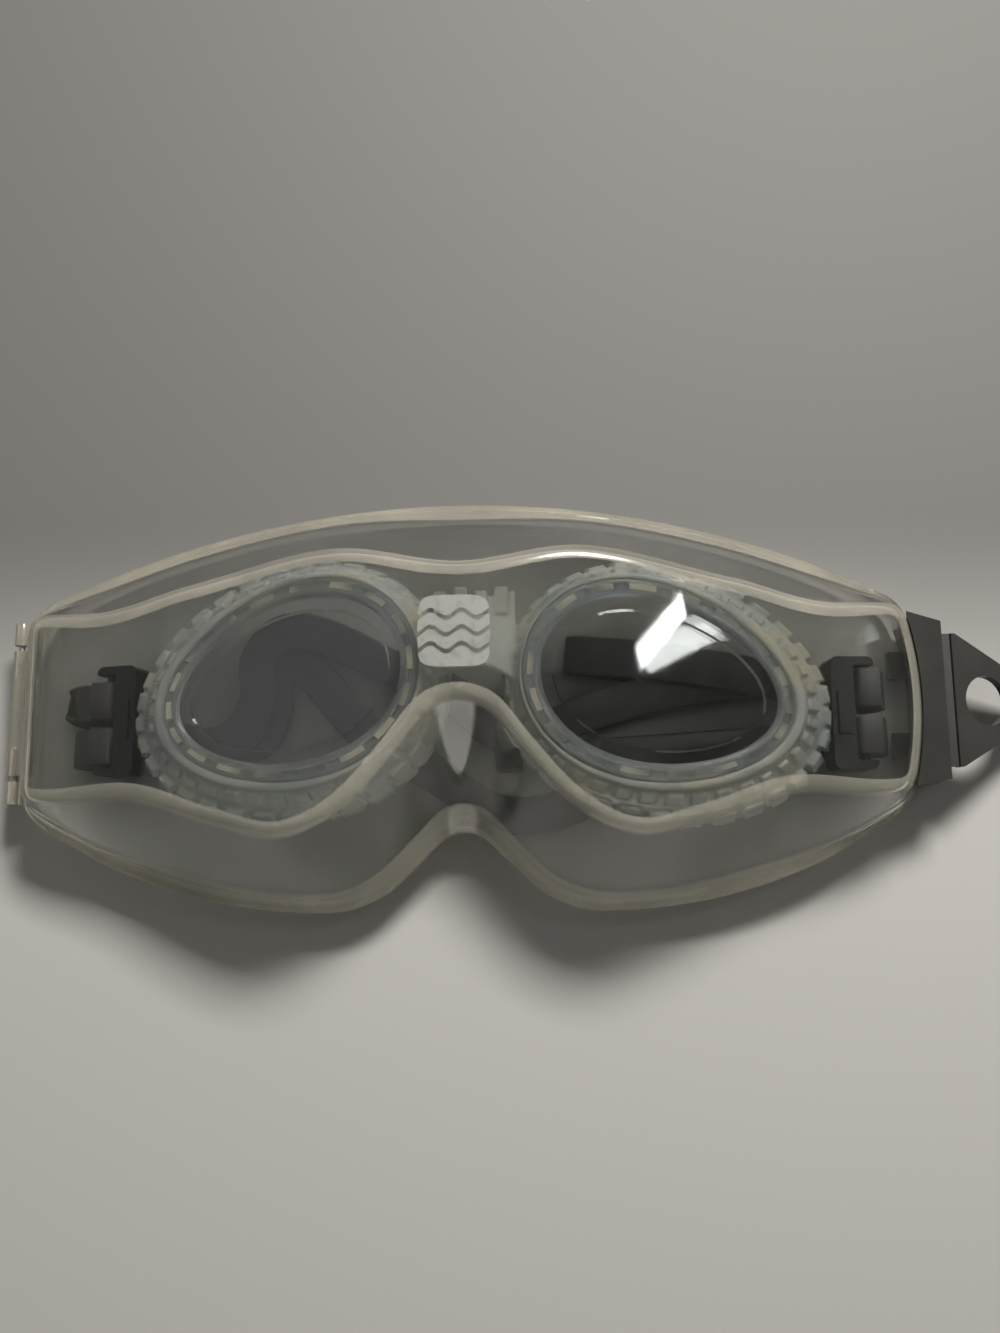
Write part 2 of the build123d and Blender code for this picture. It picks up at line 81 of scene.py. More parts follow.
FACE_FILLET = 2.2       # reach of the rounding between the flank and the face
INNER_FILLET = 1.2
BACK_FILLET = 3.0
FILLET_STEPS = 7
FLANK_STEPS = 14
FLANK_PASSES = 6        # passes that settle where a flank meets the curved face
BACK_STEPS = 6
BEAD_PROFILE = ((0.12, 0.35), (0.4, 0.85), (0.85, 1.0), (1.3, 0.75), (1.7, 0.2))  # (height, share)
RIM_BAND = 4            # rows up the flank, above the seam, that are frosted and carry the painted cream highlight
# The frosted look carries a painted highlight: a cream tone for the bright reflections along the seam and
# the face's rounded edges.
CLEAR = 0               # material numbers within the case
FROSTED_HIGHLIGHT = 1


# ---------------------------------------------------------------- mesh tools
def link(name, mesh):
    """Put a mesh in the scene as a smooth-shaded object with outward normals."""
    form = bmesh.new()
    form.from_mesh(mesh)
    bmesh.ops.remove_doubles(form, verts=form.verts, dist=1e-7)
    bmesh.ops.recalc_face_normals(form, faces=form.faces)
    form.to_mesh(mesh)
    form.free()
    obj = bpy.data.objects.new(name, mesh)
    scene.collection.objects.link(obj)
    return obj


def solid(name, points, faces, looks=None):
    """Object from points in millimetres and faces, with a material number for each face."""
    mesh = bpy.data.meshes.new(name)
    mesh.from_pydata([tuple(p) for p in np.asarray(points, float) * MM], [], faces)
    if looks is not None:
        mesh.polygons.foreach_set("material_index", looks)
    return link(name, mesh)


def shade(obj, angle=40.0):
    """Smooth shading with edges sharper than angle kept crisp."""
    obj.data.shade_smooth()
    obj.data.set_sharp_from_angle(angle=radians(angle))


def baked(obj):
    """Replace an object's mesh by the result of its modifiers."""
    bpy.context.view_layer.update()
    graph = bpy.context.evaluated_depsgraph_get()
    mesh = bpy.data.meshes.new_from_object(obj.evaluated_get(graph))
    obj.modifiers.clear()
    obj.data = mesh
    return obj


def combined(name, parts):
    """One object made of several."""
    form = bmesh.new()
    for part in parts:
        form.from_mesh(part.data)
        bpy.data.objects.remove(part)
    mesh = bpy.data.meshes.new(name)
    form.to_mesh(mesh)
    form.free()
    return link(name, mesh)


def cut(obj, cutters):
    """Subtract solids from an object."""
    tool = combined("cutter", cutters)
    change = obj.modifiers.new("cut", "BOOLEAN")
    change.operation = "DIFFERENCE"
    change.solver = "EXACT"
    change.object = tool
    baked(obj)
    bpy.data.objects.remove(tool)
    return obj


def bevel(obj, width, steps=3, angle=35.0):
    """Add a modifier that rounds the edges sharper than angle by a width in millimetres."""
    change = obj.modifiers.new("edges", "BEVEL")
    change.width = width * MM
    change.segments = steps
    change.limit_method = "ANGLE"
    change.angle_limit = radians(angle)


def finish(obj, looks, body, slot, *nodes, angle=40.0):
    """Give a piece its materials and shading, and let it ride on its body in place of CAD nodes."""
    shade(obj, angle)
    for look in looks:
        obj.data.materials.append(look)
    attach(obj, body)
    if nodes:
        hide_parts(*nodes)
    return obj


def bridge_loops(first, second, count):
    """Quads between two closed loops of points."""
    return [
        (first + j, first + (j + 1) % count, second + (j + 1) % count, second + j)
        for j in range(count)
    ]


def tube(name, rings, closed=False, looks=None):
    """Solid through a list of equal closed rings, capped at its ends unless the list is closed."""
    count = len(rings[0])
    faces = []
    for k in range(len(rings) - 1):
        faces += bridge_loops(k * count, (k + 1) * count, count)
    if closed:
        faces += bridge_loops((len(rings) - 1) * count, 0, count)
    else:
        faces.append(tuple(range(count)))
        last = (len(rings) - 1) * count
        faces.append(tuple(last + j for j in range(count)))
    return solid(name, np.concatenate(rings), faces, looks)


def box(low, high):
    """Box between two corners."""
    x = (low[0], high[0])
    y = (low[1], high[1])
    ring = [(x[0], y[0]), (x[1], y[0]), (x[1], y[1]), (x[0], y[1])]
    return tube("box", [[(a, b, z) for a, b in ring] for z in (low[2], high[2])])


def rod(x, y_range, z, radius, steps=32):
    """Round rod along Y."""
    turns = [2 * pi * k / steps for k in range(steps)]
    return tube("rod", [[(x + radius * cos(t), y, z + radius * sin(t)) for t in turns] for y in y_range])


# ---------------------------------------------------------------- case outlines
def hermite(knots, x, end_slopes):
    """Smooth height at x through knots of rising x, with the given slopes at both ends."""
    kx, ky = np.array(knots, float).T
    secants = np.diff(ky) / np.diff(kx)
    widths = np.diff(kx)
    slopes = np.empty(len(kx))
    slopes[1:-1] = (secants[:-1] * widths[1:] + secants[1:] * widths[:-1]) / (widths[1:] + widths[:-1])
    slopes[0] = end_slopes[0]
    slopes[-1] = end_slopes[1]
    k = np.clip(np.searchsorted(kx, x) - 1, 0, len(kx) - 2)
    t = (x - kx[k]) / widths[k]
    return (
        (2 * t**3 - 3 * t**2 + 1) * ky[k]
        + (t**3 - 2 * t**2 + t) * widths[k] * slopes[k]
        + (3 * t**2 - 2 * t**3) * ky[k + 1]
        + (t**3 - t**2) * widths[k] * slopes[k + 1]
    )


def rim_top(x):
    """Brow arc of the rim."""
    rise = BROW_Y - END_TOP
    radius = (CASE_HALF**2 + rise**2) / (2 * rise)
    return BROW_Y - radius + np.sqrt(radius**2 - x**2)


def rim_low(x):
    """Cheek, lobe and nose notch of the rim."""
    x = np.abs(x)
    cheek_rise = END_LOW - LOBE_Y
    cheek = ((CASE_HALF - LOBE_X) ** 2 + cheek_rise**2) / (2 * cheek_rise)
    lobe_x = LOBE_X - LOBE_RADIUS * sin(NOTCH_SLOPE)
    lobe_y = LOBE_Y + LOBE_RADIUS * (1 - cos(NOTCH_SLOPE))
    nose_x = NOSE_RADIUS * sin(NOTCH_SLOPE)
    nose_y = NOSE_Y - NOSE_RADIUS * (1 - cos(NOTCH_SLOPE))
    straight = nose_y + (lobe_y - nose_y) * (x - nose_x) / (lobe_x - nose_x)
    lobe = LOBE_Y + LOBE_RADIUS - np.sqrt(np.maximum(LOBE_RADIUS**2 - (LOBE_X - x) ** 2, 0))
    outer = LOBE_Y + cheek - np.sqrt(np.maximum(cheek**2 - (x - LOBE_X) ** 2, 0))
    nose = NOSE_Y - NOSE_RADIUS + np.sqrt(np.maximum(NOSE_RADIUS**2 - x**2, 0))
    return np.select([x < nose_x, x < lobe_x, x < LOBE_X], [nose, straight, lobe], outer)


def spread(share, notch, end):
    """X of a column on the low side, so that the notch's columns stay together."""
    inner = notch * np.abs(share) / NOTCH_SHARE
    outer = notch + (end - notch) * (np.abs(share) - NOTCH_SHARE) / (1 - NOTCH_SHARE)
    return np.sign(share) * np.where(np.abs(share) < NOTCH_SHARE, inner, outer)


def outline(half, top, low, notch, bulge):
    """Closed loop of points: brow, right end, cheeks and nose, left end."""
    share = np.linspace(-1, 1, COLUMNS + 1)
    down = np.linspace(0, 1, ROWS + 1)[1:-1]
    upper_x = half * share
    lower_x = spread(share[::-1], notch, half)
    upper = np.column_stack([upper_x, top(upper_x)])
    lower = np.column_stack([lower_x, low(lower_x)])
    right_y = upper[-1, 1] + (lower[0, 1] - upper[-1, 1]) * down
    right = np.column_stack([half + bulge * (1 - (2 * down - 1) ** 2), right_y])
    left_y = lower[-1, 1] + (upper[0, 1] - lower[-1, 1]) * down
    left = np.column_stack([np.full(ROWS - 1, -half), left_y])
    return soft_corners(np.concatenate([upper, right, lower, left]))


def soft_corners(loop):
    """Round the four corners of a loop."""
    weight = np.zeros(LOOP)
    for corner in (0, COLUMNS, COLUMNS + ROWS, 2 * COLUMNS + ROWS):
        for step in range(-CORNER_REACH, CORNER_REACH + 1):
            weight[(corner + step) % LOOP] = 1 - abs(step) / (CORNER_REACH + 1)
    weight = weight[:, None]
    for _ in range(CORNER_PASSES):
        soft = (np.roll(loop, 1, 0) + 2 * loop + np.roll(loop, -1, 0)) / 4
        loop = loop * (1 - weight) + soft * weight
    return loop


def inward(loop):
    """Unit vectors that point into a clockwise loop."""
    along = np.roll(loop, -1, 0) - np.roll(loop, 1, 0)
    normal = np.column_stack([along[:, 1], -along[:, 0]])
    return normal / np.linalg.norm(normal, axis=1)[:, None]


def at_height(loop, z):
    """A plane loop at one height, or at a height for each point."""
    return np.column_stack([loop, np.broadcast_to(z, LOOP)])


def face_height(x, depth=0.0):
    """Height of the front face at x, or of the surface that runs depth below it."""
    return FRONT_Z - FRONT_RADIUS + np.sqrt((FRONT_RADIUS - depth) ** 2 - x**2)


rim = outline(CASE_HALF, rim_top, rim_low, LOBE_X, END_BULGE)
face = outline(
    FACE_HALF,
    lambda x: hermite(FACE_TOP, x, (-0.5, 0.5)),
    lambda x: hermite(FACE_LOW, np.abs(x), (0.0, -0.4)),
    FACE_LOBE_X,
    END_BULGE / 4,
)


def patch(points, height):
    """Grid that fills the last loop of points, with its own heights. Returns points and faces."""
    start = len(points) - LOOP
    loop = points[start:]
    index = np.zeros((COLUMNS + 1, ROWS + 1), int)
    where = np.arange(LOOP) + start
    index[:, 0] = where[: COLUMNS + 1]
    index[-1, :] = where[COLUMNS : COLUMNS + ROWS + 1]
    index[:, -1] = where[COLUMNS + ROWS : 2 * COLUMNS + ROWS + 1][::-1]
    index[0, 1:-1] = where[2 * COLUMNS + ROWS + 1 :][::-1]
    at = {int(i): loop[int(i) - start] for i in index[[0, -1], :].ravel()}
    at.update({int(i): loop[int(i) - start] for i in index[:, [0, -1]].ravel()})
    extra = []
    for i in range(1, COLUMNS):
        u = i / COLUMNS
        top = at[int(index[i, 0])]
        low = at[int(index[i, -1])]
        for k in range(1, ROWS):
            v = k / ROWS
            left = at[int(index[0, k])]
            right = at[int(index[-1, k])]
            corners = (
                (1 - u) * (1 - v) * at[int(index[0, 0])]
                + u * (1 - v) * at[int(index[-1, 0])]
                + (1 - u) * v * at[int(index[0, -1])]
                + u * v * at[int(index[-1, -1])]
            )
            point = (1 - v) * top + v * low + (1 - u) * left + u * right - corners
            point[2] = height(point[0])
            index[i, k] = len(points) + len(extra)
            extra.append(point)
    faces = [
        (int(index[i, k]), int(index[i + 1, k]), int(index[i + 1, k + 1]), int(index[i, k + 1]))
        for i in range(COLUMNS)
        for k in range(ROWS)
    ]
    return np.concatenate([points, np.array(extra)]), faces


def skin(rows, height, frosted):
    """Points, faces and looks of one side of a shell: loops from the seam in, then the filled face. Rows
    listed in frosted get the frosted look with its painted cream highlight.
    """
    faces = []
    looks = []
    for k in range(len(rows) - 1):
        faces += bridge_loops(k * LOOP, (k + 1) * LOOP, LOOP)
        looks += [FROSTED_HIGHLIGHT if k in frosted else CLEAR] * LOOP
    points, filled = patch(np.concatenate(rows), height)
    return points, faces + filled, looks + [CLEAR] * len(filled)


def shell(name, outer, outer_height, inner, inner_height, frosted):
    """Closed shell between an outer and an inner skin that meet at the seam."""
    points, faces, looks = skin(outer, outer_height, frosted)
    inner_points, inner_faces, inner_looks = skin(inner, inner_height, ())
    start = len(points)
    faces += [tuple(start + v for v in quad) for quad in inner_faces]
    faces += bridge_loops(0, start, LOOP)
    # The faces along the seam take the frosted look with its painted cream highlight.
    looks += inner_looks + [FROSTED_HIGHLIGHT] * LOOP
    return solid(name, np.concatenate([points, inner_points]), faces, looks)


def bead():
    """Height of the seam bead at each loop point, none beside the end cap."""
    fade = np.clip((RIM_BEAD_END - rim[:, 0]) / RIM_BEAD_FADE, 0, 1)
    return (RIM_BEAD * fade)[:, None]


def flank_rows(inset, fillet):
    """Loops of the front shell from the seam to the start of its face."""
    foot = rim + inward(rim) * inset
    head = face + inward(face) * inset
    share = np.ones(LOOP)
    for _ in range(FLANK_PASSES):
        x = foot[:, 0] + (head[:, 0] - foot[:, 0]) * share
        share = (face_height(x, inset) - SEAM_HIGH) / (FRONT_Z - SEAM_HIGH)
    low = at_height(foot, SEAM_HIGH)
    high = at_height(head, FRONT_Z)
    edge = low + (high - low) * share[:, None]
    down = low - edge
    down /= np.linalg.norm(down, axis=1)[:, None]
    across = inward(edge[:, :2])
    fall = -edge[:, 0] / np.sqrt((FRONT_RADIUS - inset) ** 2 - edge[:, 0] ** 2)
    across = np.column_stack([across, across[:, 0] * fall])
    across /= np.linalg.norm(across, axis=1)[:, None]
    start = edge + down * fillet
    end = edge + across * fillet
    end[:, 2] = face_height(end[:, 0], inset)
    rows = [low + (start - low) * t for t in np.linspace(0, 1, FLANK_STEPS)]
    for t in np.linspace(0, 1, FILLET_STEPS + 1)[1:]:
        rows.append(start * (1 - t) ** 2 + edge * 2 * t * (1 - t) + end * t**2)
    return rows


def seam_bead(rows, direction):
    """Insert the bead beside the seam, above it or below it."""
    out = inward(rim)
    first = rows[0]
    beads = []
    for away, share in BEAD_PROFILE:
        loop = first.copy()
        loop[:, :2] -= out * bead() * share
        loop[:, 2] += direction * away
        beads.append(loop)
    return [first] + beads


# ---------------------------------------------------------------- materials
def material(name, colour, rough, **sockets):
    """Principled material. Returns it with its node tree and shader."""
    made = bpy.data.materials.new(name)
    made.use_nodes = True
    shader = made.node_tree.nodes["Principled BSDF"]
    shader.inputs["Base Color"].default_value = (*colour, 1)
    shader.inputs["Roughness"].default_value = rough
    for socket, value in sockets.items():
        shader.inputs[socket.replace("_", " ")].default_value = value
    return made, made.node_tree, shader


def noise(tree, scale, detail=3.0, stretch=(1, 1, 1)):
    """Noise texture in object coordinates, scale in features per metre."""
    place = tree.nodes.new("ShaderNodeTexCoord")
    mapping = tree.nodes.new("ShaderNodeMapping")
    mapping.inputs["Scale"].default_value = stretch
    texture = tree.nodes.new("ShaderNodeTexNoise")
    texture.inputs["Scale"].default_value = scale
    texture.inputs["Detail"].default_value = detail
    tree.links.new(place.outputs["Object"], mapping.inputs["Vector"])
    tree.links.new(mapping.outputs["Vector"], texture.inputs["Vector"])
    return texture.outputs["Fac"]


def ramp(tree, value, stops):
    """Colour ramp of (position, colour) stops."""
    node = tree.nodes.new("ShaderNodeValToRGB")
    node.color_ramp.elements[0].position = stops[0][0]
    node.color_ramp.elements[0].color = (*stops[0][1], 1)
    node.color_ramp.elements[1].position = stops[-1][0]
    node.color_ramp.elements[1].color = (*stops[-1][1], 1)
    for position, colour in stops[1:-1]:
        element = node.color_ramp.elements.new(position)
        element.color = (*colour, 1)
    tree.links.new(value, node.inputs["Fac"])
    return node.outputs["Color"]


def spread_value(tree, value, low, high):
    """Map a 0 to 1 value to a range."""
    node = tree.nodes.new("ShaderNodeMapRange")
    node.inputs["To Min"].default_value = low
    node.inputs["To Max"].default_value = high
    tree.links.new(value, node.inputs["Value"])
    return node.outputs["Result"]


def bump(tree, shader, height, strength, distance):
    """Surface relief from a height value, distance in millimetres."""
    node = tree.nodes.new("ShaderNodeBump")
    node.inputs["Strength"].default_value = strength
    node.inputs["Distance"].default_value = distance * MM
    tree.links.new(height, node.inputs["Height"])
    tree.links.new(node.outputs["Normal"], shader.inputs["Normal"])


def clear_plastic(name, colour, rough, ior=1.49):
    """Clear moulded plastic with faint handling marks."""
    made, tree, shader = material(name, colour, rough, Transmission_Weight=1.0, IOR=ior)
    marks = noise(tree, 260, 6, (1, 5, 1))
    tree.links.new(spread_value(tree, marks, rough * 0.4, rough * 1.8), shader.inputs["Roughness"])
    bump(tree, shader, noise(tree, 26, 2), 0.06, 0.25)
    return made


def frosted_highlight_edge():
    """Cream, half-frosted plastic of the thick rim and of the rounded edges of the face; its cream tone is a
    painted highlight for the bright reflections along these edges.
    """
    made, tree, shader = material(
        "case_edge_highlight", (0.72, 0.69, 0.58), 0.18, Transmission_Weight=0.75, IOR=1.49
    )
    tone = ramp(tree, noise(tree, 50, 3), ((0.3, (0.60, 0.575, 0.49)), (0.7, (0.84, 0.80, 0.68))))
    tree.links.new(tone, shader.inputs["Base Color"])
    tree.links.new(spread_value(tree, noise(tree, 120, 2), 0.12, 0.24), shader.inputs["Roughness"])
    return made


def painted_shade_haze_plastic():
    """Clear plastic of the back half with a pale grey haze and tint, painted shade that dims and greys the
    floor seen through the case.
    """
    made, tree, shader = material("case_haze_painted_shade", (0.8, 0.8, 0.77), 0.12, Transmission_Weight=0.84, IOR=1.49)
    tone = ramp(tree, noise(tree, 40, 3), ((0.3, (0.72, 0.72, 0.69)), (0.7, (0.88, 0.88, 0.85))))
    tree.links.new(tone, shader.inputs["Base Color"])
    return made


def ring_window():
    """Small cream bars of the lens rings, bright in places."""
    made, tree, shader = material(
        "ring_window", (0.6, 0.57, 0.45), 0.3, Transmission_Weight=0.5, IOR=1.49
    )
    tone = ramp(tree, noise(tree, 90, 2), ((0.42, (0.22, 0.23, 0.215)), (0.66, (0.80, 0.76, 0.60))))
    tree.links.new(tone, shader.inputs["Base Color"])
    return made


def silicone_rubber():
    """Milky translucent silicone, with soft patches of painted shade in blue-grey and of painted highlight
    in cream.
    """
    made, tree, shader = material(
        "silicone", (0.8, 0.82, 0.8), 0.2, Transmission_Weight=0.68, IOR=1.41
    )
    shade_and_highlight_patches = noise(tree, 70, 4)
    # Painted shade in blue-grey and painted highlight in cream, spread in random soft patches.
    colours = ((0.3, (0.70, 0.76, 0.77)), (0.52, (0.90, 0.91, 0.87)), (0.68, (1.0, 0.94, 0.76)))
    tree.links.new(ramp(tree, shade_and_highlight_patches, colours), shader.inputs["Base Color"])
    tree.links.new(spread_value(tree, noise(tree, 300, 3), 0.08, 0.3), shader.inputs["Roughness"])
    bump(tree, shader, noise(tree, 900, 3), 0.25, 0.12)
    return made


def frosted_ring():
    """Frosted clear ring, cooler than the silicone."""
    made, tree, shader = material(
        "frosted_ring", (0.7, 0.74, 0.78), 0.2, Transmission_Weight=0.85, IOR=1.49
    )
    tone = ramp(tree, noise(tree, 45, 3), ((0.35, (0.60, 0.66, 0.70)), (0.7, (0.84, 0.84, 0.80))))
    tree.links.new(tone, shader.inputs["Base Color"])
    tree.links.new(spread_value(tree, noise(tree, 400, 2), 0.12, 0.3), shader.inputs["Roughness"])
    return made


def smoke_plastic():
    """Warm dark grey moulded plastic of the cap and tab."""
    made, tree, shader = material("smoke_plastic", (0.036, 0.035, 0.032), 0.3)
    tone = ramp(tree, noise(tree, 55, 4), ((0.3, (0.029, 0.028, 0.026)), (0.7, (0.044, 0.043, 0.040))))
    tree.links.new(tone, shader.inputs["Base Color"])
    tree.links.new(spread_value(tree, noise(tree, 500, 4), 0.24, 0.4), shader.inputs["Roughness"])
    bump(tree, shader, noise(tree, 1500, 2), 0.15, 0.05)
    return made


def strap_rubber():
    """Dark grey rubber strap with a fine grain and a little dust."""
    made, tree, shader = material("strap_rubber", (0.03, 0.03, 0.032), 0.5)
    tone = ramp(tree, noise(tree, 120, 5), ((0.3, (0.022, 0.022, 0.024)), (0.7, (0.045, 0.044, 0.043))))
    tree.links.new(tone, shader.inputs["Base Color"])
    tree.links.new(spread_value(tree, noise(tree, 700, 3), 0.38, 0.6), shader.inputs["Roughness"])
    bump(tree, shader, noise(tree, 1200, 3), 0.3, 0.08)
    return made


def black_plastic():
    """Glossy near-black plastic of the buckles."""
    made, tree, shader = material("black_plastic", (0.008, 0.008, 0.009), 0.3)
    tree.links.new(spread_value(tree, noise(tree, 600, 3), 0.25, 0.45), shader.inputs["Roughness"])
    bump(tree, shader, noise(tree, 900, 2), 0.12, 0.05)
    return made


def brushed_steel():
    """Steel pins with fine turning marks."""
    made, tree, shader = material("brushed_steel", (0.52, 0.52, 0.50), 0.3, Metallic=1.0)
    tree.links.new(
        spread_value(tree, noise(tree, 900, 2, (1, 8, 1)), 0.22, 0.42), shader.inputs["Roughness"]
    )
    return made


def white_print():
    """Slightly worn white printing ink."""
    made, tree, shader = material("white_print", (0.25, 0.25, 0.235), 0.5)
    worn = ramp(tree, noise(tree, 420, 5), ((0.28, (0.20, 0.20, 0.185)), (0.5, (0.28, 0.28, 0.262))))
    tree.links.new(worn, shader.inputs["Base Color"])
    return made


case_plastic = clear_plastic("case_plastic", (0.93, 0.935, 0.92), 0.03)
case_edge_highlight = frosted_highlight_edge()
front_looks = [case_plastic, case_edge_highlight]
back_looks = [painted_shade_haze_plastic(), case_edge_highlight]
lens_plastic = clear_plastic("lens_plastic", (0.95, 0.96, 0.96), 0.015, 1.58)
silicone = silicone_rubber()
ring_looks = [frosted_ring(), ring_window()]
smoke = smoke_plastic()
rubber = strap_rubber()
black = black_plastic()
steel = brushed_steel()
print_ink = white_print()


# ---------------------------------------------------------------- case shells
def front_shell():
    """Front half of the case."""
    outer = flank_rows(0, FACE_FILLET)
    inner = flank_rows(WALL, INNER_FILLET)
    outer = seam_bead(outer, 1) + outer[2:]
    last = len(outer) - 1
    # Rows with the frosted look and its painted cream highlight: the seam band and the rounding into the
    # face.
    edges = [*range(RIM_BAND + 3), *range(last - FILLET_STEPS, last)]
    made = shell("case_front", outer, face_height, inner, lambda x: face_height(x, WALL), edges)
    finish(made, front_looks, LID, "clear_case", "front_shell", angle=60)


def back_rows(inset, floor, fillet):
    """Loops of the back shell from the seam down to its flat floor."""
    wall = rim + inward(rim) * inset
    rows = [at_height(wall, z) for z in np.linspace(SEAM_LOW, floor + fillet, BACK_STEPS)]
    for turn in np.linspace(0, pi / 2, FILLET_STEPS + 1)[1:]:
        loop = wall + inward(wall) * fillet * (1 - cos(turn))
        rows.append(at_height(loop, floor + fillet * (1 - sin(turn))))
    return rows


PRONG_SLOT_X = (94, 102)
PRONG_SLOT_Y = (-7.5, 10.5)
PRONG_SLOT_HALF = 3.3
PRONG_SLOT_Z = (3.9, 6.5)


def back_shell():
    """Back half of the case, with two slots for the end cap's prongs."""
    outer = back_rows(0, 0, BACK_FILLET)
    inner = back_rows(WALL, WALL, BACK_FILLET - WALL / 2)
    outer = seam_bead(outer, -1) + outer[2:]
    # The seam band rows of the back shell take the frosted look with its painted cream highlight.
    made = shell("case_back", outer, lambda x: 0.0, inner, lambda x: WALL, range(RIM_BAND + 6))
    low = [(PRONG_SLOT_X[0], y - PRONG_SLOT_HALF, PRONG_SLOT_Z[0]) for y in PRONG_SLOT_Y]
    high = [(PRONG_SLOT_X[1], y + PRONG_SLOT_HALF, PRONG_SLOT_Z[1]) for y in PRONG_SLOT_Y]
    cut(made, [box(a, b) for a, b in zip(low, high)])
    finish(made, back_looks, ROOT, "clear_case", "back_shell", angle=60)


HINGE_X = -99.2
HINGE_Z = 9.0
KNUCKLE_RADIUS = 1.6
KNUCKLE_STEPS = 40
KNUCKLE_ROUNDING = 0.25
KNUCKLE_WALL_X = -96.1  # where a knuckle's web ends, in the end wall
WEB_TURN = 10           # degrees from the seam's plane to the start of the round
WEB_GAP = 0.15          # from the seam's plane to the web
PIN_BORE = 0.75
KNUCKLES = (
    # name, Y range, side of the seam's plane that its web is on, body, Y ranges of its bores
    ("hinge_knuckle_middle", (-12, 16), 1, LID, ((-18, -6), (10, 22))),
    ("hinge_knuckle_upper", (17.2, 22.2), -1, ROOT, ((16, 23),)),
    ("hinge_knuckle_lower", (-18.2, -13.2), -1, ROOT, ((-19, -12),)),
)


def knuckle(name, y_range, web_side, body, bores):
    """One knuckle of the lid hinge, with its web to the end wall and its pin bores."""
    round_turn = 2 * pi - radians(2 * WEB_TURN) - pi / 2
    ring = []
    for k in range(KNUCKLE_STEPS + 1):
        turn = radians(WEB_TURN) + round_turn * k / KNUCKLE_STEPS
        ring.append((HINGE_X + KNUCKLE_RADIUS * cos(turn), -web_side * KNUCKLE_RADIUS * sin(turn)))
    ring.append((KNUCKLE_WALL_X, web_side * KNUCKLE_RADIUS))
    ring.append((KNUCKLE_WALL_X, web_side * WEB_GAP))
    rings = [[(x, y, HINGE_Z + z) for x, z in ring] for y in y_range]
    made = tube(name, rings)
    bevel(made, KNUCKLE_ROUNDING, 2, 50)
    baked(made)
    cut(made, [rod(HINGE_X, bore, HINGE_Z, PIN_BORE) for bore in bores])
    # The knuckles take the frosted edge plastic with its painted cream highlight.
    finish(made, [case_edge_highlight], body, "clear_case")


# ---------------------------------------------------------------- printed emblem
EMBLEM_AT = (-0.6, 13.0)
EMBLEM_HALF = 7.3
EMBLEM_COLUMNS = 90
EMBLEM_LEVELS = (-3.4, 0.0, 3.4)
EMBLEM_GAP_HALF = 0.5
EMBLEM_WAVE = 0.8
EMBLEM_WAVE_LENGTH = 6.2
EMBLEM_LIFT = 0.02
EMBLEM_THICK = 0.06
EMBLEM_LEAST = 0.05     # a strip thinner than this isn't printed


def emblem():
    """Plain rounded-square print with three wavy gaps, on the front face."""
    points = []
    faces = []
    xs = np.linspace(-EMBLEM_HALF, EMBLEM_HALF, EMBLEM_COLUMNS + 1)
    reach = EMBLEM_HALF * (1 - (np.abs(xs) / EMBLEM_HALF) ** 5) ** 0.2
    wave = EMBLEM_WAVE * np.sin(2 * pi * xs / EMBLEM_WAVE_LENGTH)
    edges = [-reach]
    for level in EMBLEM_LEVELS:
        edges += [level + wave - EMBLEM_GAP_HALF, level + wave + EMBLEM_GAP_HALF]
    edges.append(reach)
    for low, high in zip(edges[::2], edges[1::2]):
        low = np.clip(low, -reach, reach)
        high = np.clip(high, -reach, reach)
        start = len(points)
        for x, a, b in zip(xs, low, high):
            for y in (a, b):
                px = EMBLEM_AT[0] + x
                points.append((px, EMBLEM_AT[1] + y, float(face_height(px)) + EMBLEM_LIFT))
        for k in range(EMBLEM_COLUMNS):
            if max(high[k] - low[k], high[k + 1] - low[k + 1]) > EMBLEM_LEAST:
                i = start + 2 * k
                faces.append((i, i + 2, i + 3, i + 1))
    made = solid("wave_print", points, faces)
    thick = made.modifiers.new("ink", "SOLIDIFY")
    thick.thickness = EMBLEM_THICK * MM
    thick.offset = 1.0
    finish(baked(made), [print_ink], LID, "clear_case")


# ---------------------------------------------------------------- goggles
LENS_LONG = 25.5
LENS_TALL = 17.2
LENS_EGG = 0.14
LENS_LEAN = radians(13)
LEFT = {"name": "left", "side": -1, "origin": (-35.5, 4.5, 27.3), "tilt": 14.0}
RIGHT = {"name": "right", "side": 1, "origin": (41.0, 3.5, 27.3), "tilt": 8.0}
TURNS = 288             # steps round a lens
BARS = 18               # small bars round each ring
BAR_STEPS = 10          # steps of each bar, out of TURNS / BARS
RING_GROW = 3.3         # outside of the ring, from the lens outline
TEMPLE_SKEW = 0.6       # how much wider the cup's flange is at the temple, and narrower at the nose


def cup_point(cup, u, v, depth):
    """Point in a lens's own plane, u to the right, v up and depth out of the lens."""
    lean = radians(cup["side"] * cup["tilt"])
    x, y, z = cup["origin"]
    return (
        x + u * cos(lean) + depth * sin(lean),
        y + v,
        z - u * sin(lean) + depth * cos(lean),
    )


def lens_point(cup, turn, grow, depth):
    """Point on the lens outline, moved outwards by grow, further at the temple outside the ring."""
    outside = max(grow - RING_GROW, 0)
    grow += outside * TEMPLE_SKEW * cos(turn)
    u = (LENS_LONG + grow) * cos(turn)
    v = (LENS_TALL + grow) * sin(turn) * (1 - LENS_EGG * cos(turn))
    across = cup["side"] * (u * cos(LENS_LEAN) + v * sin(LENS_LEAN))
    return cup_point(cup, across, v * cos(LENS_LEAN) - u * sin(LENS_LEAN), depth)


